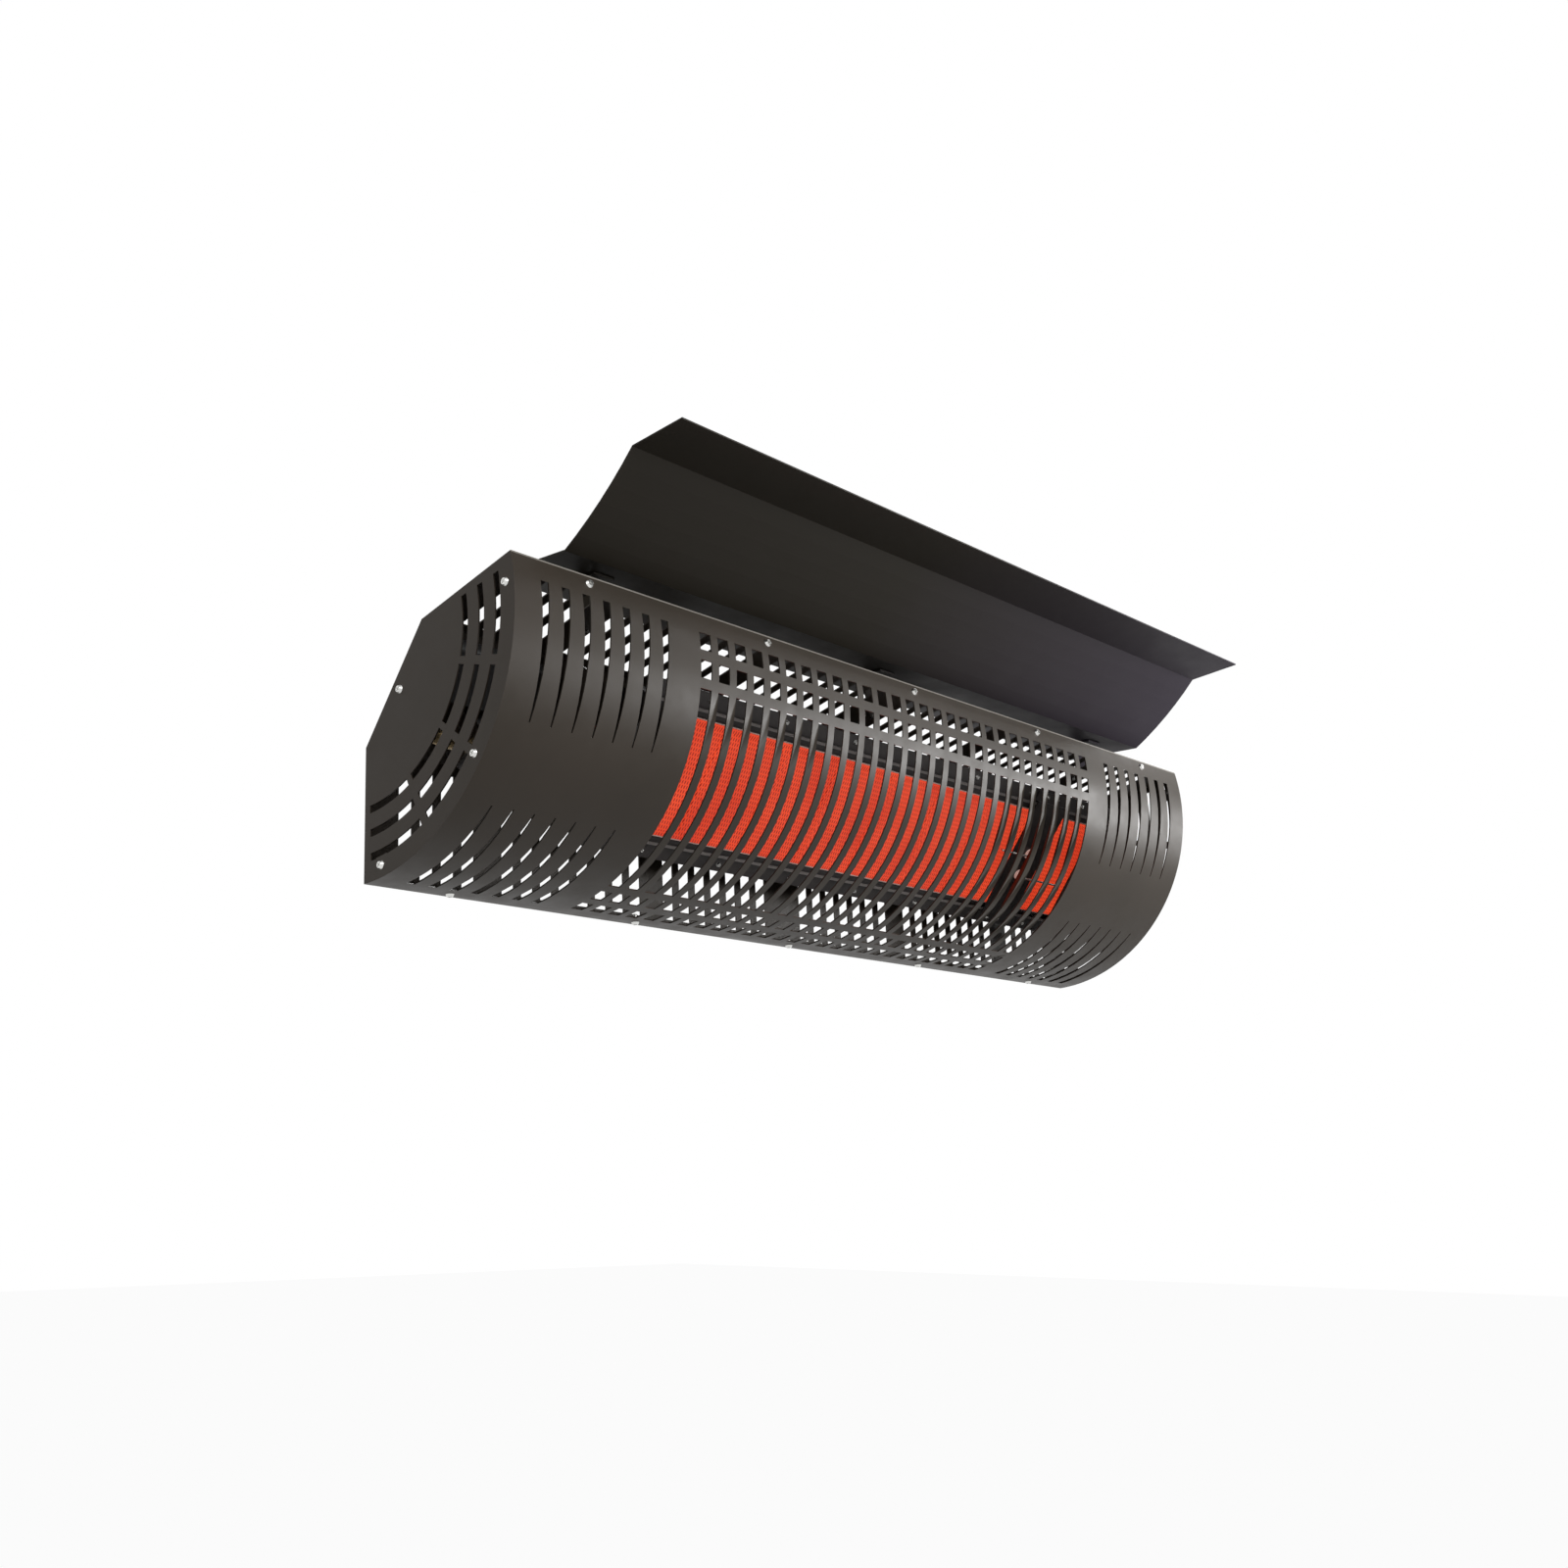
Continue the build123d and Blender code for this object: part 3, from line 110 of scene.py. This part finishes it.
# Camera
CAMERA_PLACE = (-1.530, -1.560, -0.497)
CAMERA_DIRECTION = (0.726, 0.650, 0.223)
CAMERA_LENS = 40.86
CAMERA_SENSOR = 36


# ---------------------------------------------------------------- node helpers
def new_material(name):
    material = bpy.data.materials.new(name)
    material.use_nodes = True
    nodes = material.node_tree.nodes
    return material, nodes, material.node_tree.links, nodes["Principled BSDF"]


def object_coordinates(nodes):
    return nodes.new("ShaderNodeTexCoord").outputs["Object"]


def grey(value):
    return (value, value, value)


def noise(nodes, links, coords, scale, detail=3.0):
    node = nodes.new("ShaderNodeTexNoise")
    node.inputs["Scale"].default_value = scale
    node.inputs["Detail"].default_value = detail
    node.inputs["Roughness"].default_value = 0.55
    links.new(coords, node.inputs["Vector"])
    return node.outputs["Fac"]


def tones(nodes, links, cloud, low, high):
    """Colour that runs from low to high with a cloud of noise."""
    node = nodes.new("ShaderNodeValToRGB")
    stops = ((CLOUD_LOW, low), (CLOUD_HIGH, high))
    for element, (spot, colour) in zip(node.color_ramp.elements, stops):
        element.position = spot
        element.color = (*colour, 1)
    links.new(cloud, node.inputs["Fac"])
    return node.outputs["Color"]


def bump(nodes, links, height, strength, distance, shader):
    node = nodes.new("ShaderNodeBump")
    node.inputs["Strength"].default_value = strength
    node.inputs["Distance"].default_value = distance
    links.new(height, node.inputs["Height"])
    links.new(node.outputs["Normal"], shader.inputs["Normal"])


def maths(nodes, links, operation, first, second=None):
    """Math node on one or two values, each a number or a socket."""
    node = nodes.new("ShaderNodeMath")
    node.operation = operation
    for socket, value in zip(node.inputs, (first, second)):
        if value is None:
            continue
        if isinstance(value, (int, float)):
            socket.default_value = value
        else:
            links.new(value, socket)
    return node.outputs[0]


def ramp_between(nodes, links, value, start, end):
    """0 at the start value, 1 at the end value and even between them."""
    node = nodes.new("ShaderNodeMapRange")
    node.inputs["From Min"].default_value = start
    node.inputs["From Max"].default_value = end
    links.new(value, node.inputs["Value"])
    return node.outputs["Result"]


def band(nodes, links, value, limits):
    """1 where a value lies between two limits, 0 elsewhere."""
    low, high = limits
    above = maths(nodes, links, "GREATER_THAN", value, low)
    below = maths(nodes, links, "LESS_THAN", value, high)
    return maths(nodes, links, "MULTIPLY", above, below)


def blend_colour(nodes, links, factor, base, top):
    """Mix from the base, a colour or a socket, to the top colour."""
    node = nodes.new("ShaderNodeMix")
    node.data_type = "RGBA"
    links.new(factor, node.inputs["Factor"])
    if isinstance(base, tuple):
        node.inputs["A"].default_value = (*base, 1)
    else:
        links.new(base, node.inputs["A"])
    node.inputs["B"].default_value = (*top, 1)
    return node.outputs["Result"]


def distance_along(nodes, links, coords, direction):
    """Signed distance of a surface point from the cage's centre along a direction."""
    shift = nodes.new("ShaderNodeVectorMath")
    shift.operation = "SUBTRACT"
    shift.inputs[1].default_value = CENTRE
    links.new(coords, shift.inputs[0])
    dot = nodes.new("ShaderNodeVectorMath")
    dot.operation = "DOT_PRODUCT"
    dot.inputs[1].default_value = direction
    links.new(shift.outputs["Vector"], dot.inputs[0])
    return dot.outputs["Value"]


def distance_from_middle(nodes, links, coords):
    """Distance above or below the cage's middle."""
    return maths(nodes, links, "ABSOLUTE", distance_along(nodes, links, coords, UP))


# ---------------------------------------------------------------- materials
def paint(name, low, high, rough, painted_edge_highlight=None):
    """Sprayed paint with a cloud of tone, a fine orange peel and, if asked, a painted highlight
    along the long edges.
    """
    material, nodes, links, shader = new_material(name)
    coords = object_coordinates(nodes)
    cloud = noise(nodes, links, coords, PAINT_CLOUD_SCALE)
    colour = tones(nodes, links, cloud, low, high)
    if painted_edge_highlight:
        # Painted highlight: a pale strip along both long edges, where the rolled edges would
        # catch the light
        height = distance_from_middle(nodes, links, coords)
        edge_highlight_mask = maths(nodes, links, "GREATER_THAN", height, EDGE_HIGHLIGHT_HEIGHT)
        colour = blend_colour(nodes, links, edge_highlight_mask, colour, painted_edge_highlight)
    links.new(colour, shader.inputs["Base Color"])
    rough_cloud = noise(nodes, links, coords, PAINT_ROUGH_SCALE)
    roughness = tones(nodes, links, rough_cloud,
                      grey(rough - PAINT_ROUGH_SPREAD), grey(rough + PAINT_ROUGH_SPREAD))
    links.new(roughness, shader.inputs["Roughness"])
    peel = noise(nodes, links, coords, PEEL_SCALE, GRAIN_DETAIL)
    bump(nodes, links, peel, PEEL_STRENGTH, PEEL_DEPTH, shader)
    shader.inputs["Specular IOR Level"].default_value = PAINT_SPECULAR
    return material


def deflector_paint():
    """Dark heat-proof paint that turns bluish towards the right end."""
    material, nodes, links, shader = new_material("deflector_paint")
    coords = object_coordinates(nodes)
    split = nodes.new("ShaderNodeSeparateXYZ")
    links.new(coords, split.inputs["Vector"])
    change = ramp_between(nodes, links, split.outputs["X"],
                          DEFLECTOR_CHANGE_START, DEFLECTOR_CHANGE_END)
    colour = blend_colour(nodes, links, change, DEFLECTOR_LEFT, DEFLECTOR_RIGHT)
    links.new(colour, shader.inputs["Base Color"])
    rough_cloud = noise(nodes, links, coords, DEFLECTOR_ROUGH_SCALE)
    smoothest, roughest = DEFLECTOR_ROUGH
    roughness = tones(nodes, links, rough_cloud, grey(smoothest), grey(roughest))
    links.new(roughness, shader.inputs["Roughness"])
    peel = noise(nodes, links, coords, PEEL_SCALE, GRAIN_DETAIL)
    bump(nodes, links, peel, DEFLECTOR_PEEL_STRENGTH, DEFLECTOR_PEEL_DEPTH, shader)
    shader.inputs["Specular IOR Level"].default_value = DEFLECTOR_SPECULAR
    return material


def burner_frame_steel():
    """Dark sheet with a pale edge beside the tiles and a lighter bead."""
    material, nodes, links, shader = new_material("burner_frame_steel")
    coords = object_coordinates(nodes)
    colour = tones(nodes, links, noise(nodes, links, coords, 30),
                   (0.016, 0.013, 0.012), (0.034, 0.028, 0.026))
    height = distance_from_middle(nodes, links, coords)
    out = distance_along(nodes, links, coords, OUT)
    front = maths(nodes, links, "GREATER_THAN", out, FRAME_FRONT)
    for limits, tint in ((FRAME_RIM, FRAME_RIM_COLOUR), (FRAME_BEAD, FRAME_BEAD_COLOUR)):
        stripe = maths(nodes, links, "MULTIPLY", front, band(nodes, links, height, limits))
        colour = blend_colour(nodes, links, stripe, colour, tint)
    links.new(colour, shader.inputs["Base Color"])
    shader.inputs["Roughness"].default_value = 0.5
    shader.inputs["Metallic"].default_value = 0.2
    return material


def metal(name, low, high, rough, scale=60, metallic=1.0, grain_depth=0.0):
    """Bare or plated metal with a cloudy tone and, if asked, a cast grain."""
    material, nodes, links, shader = new_material(name)
    coords = object_coordinates(nodes)
    colour = tones(nodes, links, noise(nodes, links, coords, scale), low, high)
    links.new(colour, shader.inputs["Base Color"])
    rough_cloud = noise(nodes, links, coords, scale * 3)
    roughness = tones(nodes, links, rough_cloud,
                      grey(rough - METAL_ROUGH_SPREAD), grey(rough + METAL_ROUGH_SPREAD))
    links.new(roughness, shader.inputs["Roughness"])
    if grain_depth:
        grain = noise(nodes, links, coords, METAL_GRAIN_SCALE, GRAIN_DETAIL)
        bump(nodes, links, grain, BUMP_STRENGTH, grain_depth, shader)
    shader.inputs["Metallic"].default_value = metallic
    return material


def soft(name, low, high, rough, scale, depth=0.0001, glow=None):
    """Plastic, silicone, fibre or glazed ceramic, with, if asked, a painted glow that stands in
    for light from the tiles.
    """
    material, nodes, links, shader = new_material(name)
    cloud = noise(nodes, links, object_coordinates(nodes), scale)
    links.new(tones(nodes, links, cloud, low, high), shader.inputs["Base Color"])
    shader.inputs["Roughness"].default_value = rough
    bump(nodes, links, cloud, BUMP_STRENGTH, depth, shader)
    # Painted glow: emission standing in for the tiles' red light falling on the part
    if glow:
        shader.inputs["Emission Color"].default_value = (*glow, 1)
        shader.inputs["Emission Strength"].default_value = CERAMIC_PAINTED_GLOW_STRENGTH
    return material


def glowing_tile():
    """Red-hot ceramic tile with rows of fine holes."""
    material, nodes, links, shader = new_material("tile_ceramic")
    coords = object_coordinates(nodes)
    turn = nodes.new("ShaderNodeMapping")
    turn.inputs["Rotation"].default_value = (math.radians(90 + TILT_DEGREES), 0, 0)
    links.new(coords, turn.inputs["Vector"])
    split = nodes.new("ShaderNodeSeparateXYZ")
    links.new(turn.outputs["Vector"], split.inputs["Vector"])
    waves = []
    for axis in ("X", "Y"):
        scaled = maths(nodes, links, "MULTIPLY", split.outputs[axis], 2 * math.pi / HOLE_PITCH)
        waves.append(maths(nodes, links, "SINE", scaled))
    pattern = maths(nodes, links, "MULTIPLY", *waves)
    holes = ramp_between(nodes, links, pattern, *HOLE_EDGE)
    cloud = noise(nodes, links, coords, GLOW_SCALE, GLOW_DETAIL)
    glow = tones(nodes, links, cloud, GLOW_LOW, GLOW_HIGH)
    links.new(blend_colour(nodes, links, holes, glow, HOLE_GLOW),
              shader.inputs["Emission Color"])
    shader.inputs["Emission Strength"].default_value = GLOW_STRENGTH
    links.new(tones(nodes, links, cloud, TILE_LOW, TILE_HIGH), shader.inputs["Base Color"])
    shader.inputs["Roughness"].default_value = 0.9
    bump(nodes, links, holes, HOLE_STRENGTH, -HOLE_DEPTH, shader)
    return material


cage_low, cage_high = (0.045, 0.036, 0.027), (0.053, 0.042, 0.032)
materials = {
    # The pale colour below is the painted highlight along the cage's long edges
    "cage_paint": paint("cage_paint", cage_low, cage_high, 0.38, painted_edge_highlight=(0.30, 0.28, 0.25)),
    "deflector_paint": deflector_paint(),
    "zinc_screws": metal("zinc_screws", (0.62, 0.62, 0.60), (0.76, 0.76, 0.74), 0.26),
    "burner_steel": metal("burner_steel", (0.018, 0.015, 0.014), (0.036, 0.030, 0.028), 0.5,
                          scale=20, metallic=0.3),
    "tile_ceramic": glowing_tile(),
    "fibre_gasket": soft("fibre_gasket", (0.66, 0.55, 0.50), (0.80, 0.70, 0.66), 0.95,
                         scale=500, depth=0.0005),
    "plated_steel": metal("plated_steel", (0.42, 0.41, 0.39), (0.56, 0.55, 0.52), 0.34,
                          scale=30),
    "brass": metal("brass", (0.34, 0.25, 0.13), (0.44, 0.34, 0.19), 0.42, scale=40),
    "cast_aluminium": metal("cast_aluminium", grey(0.48), grey(0.60), 0.48,
                            scale=80, grain_depth=0.0003),
    "coil_plastic": soft("coil_plastic", grey(0.018), grey(0.026), 0.5, scale=700),
    "control_plastic": soft("control_plastic", grey(0.030), grey(0.042), 0.5, scale=700),
    # The insulators' pinkish tint and glow are painted light from the red-hot tiles on white
    # ceramic
    "white_ceramic": soft("white_ceramic", (0.86, 0.74, 0.70), (0.90, 0.80, 0.76), 0.25,
                          scale=60, glow=(0.50, 0.27, 0.22)),
    "lead_silicone": soft("lead_silicone", (0.36, 0.03, 0.02), (0.42, 0.04, 0.03), 0.45,
                          scale=200),
    "bracket_paint": paint("bracket_paint", cage_low, cage_high, 0.44),
}
for part in frame["record"]["subparts"]:
    node = frame["nodes"][part["node"]]
    node.data.materials.clear()
    node.data.materials.append(materials[part["material_slot"]])
frame["nodes"]["burner_frame"].data.materials[0] = burner_frame_steel()


# ---------------------------------------------------------------- floor and light
def seen_directly(nodes, links):
    """1 for rays from the camera and for those seen in gloss or through glass."""
    path = nodes.new("ShaderNodeLightPath")
    indirect = maths(nodes, links, "MAXIMUM",
                     path.outputs["Is Glossy Ray"], path.outputs["Is Transmission Ray"])
    return maths(nodes, links, "MAXIMUM", path.outputs["Is Camera Ray"], indirect)


def area_light(name, place, aim, size, watts):
    data = bpy.data.lights.new(name, "AREA")
    data.shape = "RECTANGLE"
    data.size, data.size_y = size
    data.energy = watts
    light = bpy.data.objects.new(name, data)
    light.location = place
    light.rotation_euler = (Vector(aim) - Vector(place)).to_track_quat("-Z", "Y").to_euler()
    bpy.context.scene.collection.objects.link(light)


bpy.ops.mesh.primitive_plane_add(size=FLOOR_SIZE, location=(0, 0, FLOOR_HEIGHT))
floor = bpy.context.object
floor.name = "studio_floor"
floor_material, nodes, links, shader = new_material("studio_floor")
darkest, palest = FLOOR_TONES
floor_cloud = noise(nodes, links, object_coordinates(nodes), 2)
links.new(tones(nodes, links, floor_cloud, grey(darkest), grey(palest)),
          shader.inputs["Base Color"])
shader.inputs["Roughness"].default_value = 0.9
white = nodes.new("ShaderNodeEmission")
white.inputs["Color"].default_value = (1, 1, 1, 1)
mixed = nodes.new("ShaderNodeMixShader")
links.new(maths(nodes, links, "MULTIPLY", seen_directly(nodes, links), FLOOR_WHITE_SHARE),
          mixed.inputs[0])
links.new(shader.outputs[0], mixed.inputs[1])
links.new(white.outputs[0], mixed.inputs[2])
links.new(mixed.outputs[0], nodes["Material Output"].inputs["Surface"])
floor.data.materials.append(floor_material)

world = bpy.data.worlds.new("studio")
world.use_nodes = True
bpy.context.scene.world = world
nodes, links = world.node_tree.nodes, world.node_tree.links
nodes["Background"].inputs["Color"].default_value = (1, 1, 1, 1)
extra = maths(nodes, links, "MULTIPLY", seen_directly(nodes, links), WORLD_EXTRA_WHEN_SEEN)
links.new(maths(nodes, links, "ADD", extra, WORLD_LIGHT),
          nodes["Background"].inputs["Strength"])

for lamp in LAMPS:
    area_light(*lamp)

# ---------------------------------------------------------------- camera
camera_data = bpy.data.cameras.new("camera")
camera_data.lens = CAMERA_LENS
camera_data.sensor_width = CAMERA_SENSOR
camera_data.clip_start = 0.02
camera_data.clip_end = 200
camera = bpy.data.objects.new("camera", camera_data)
camera.location = CAMERA_PLACE
camera.rotation_euler = Vector(CAMERA_DIRECTION).to_track_quat("-Z", "Y").to_euler()
bpy.context.scene.collection.objects.link(camera)
bpy.context.scene.camera = camera
bpy.context.scene.view_settings.view_transform = "Standard"
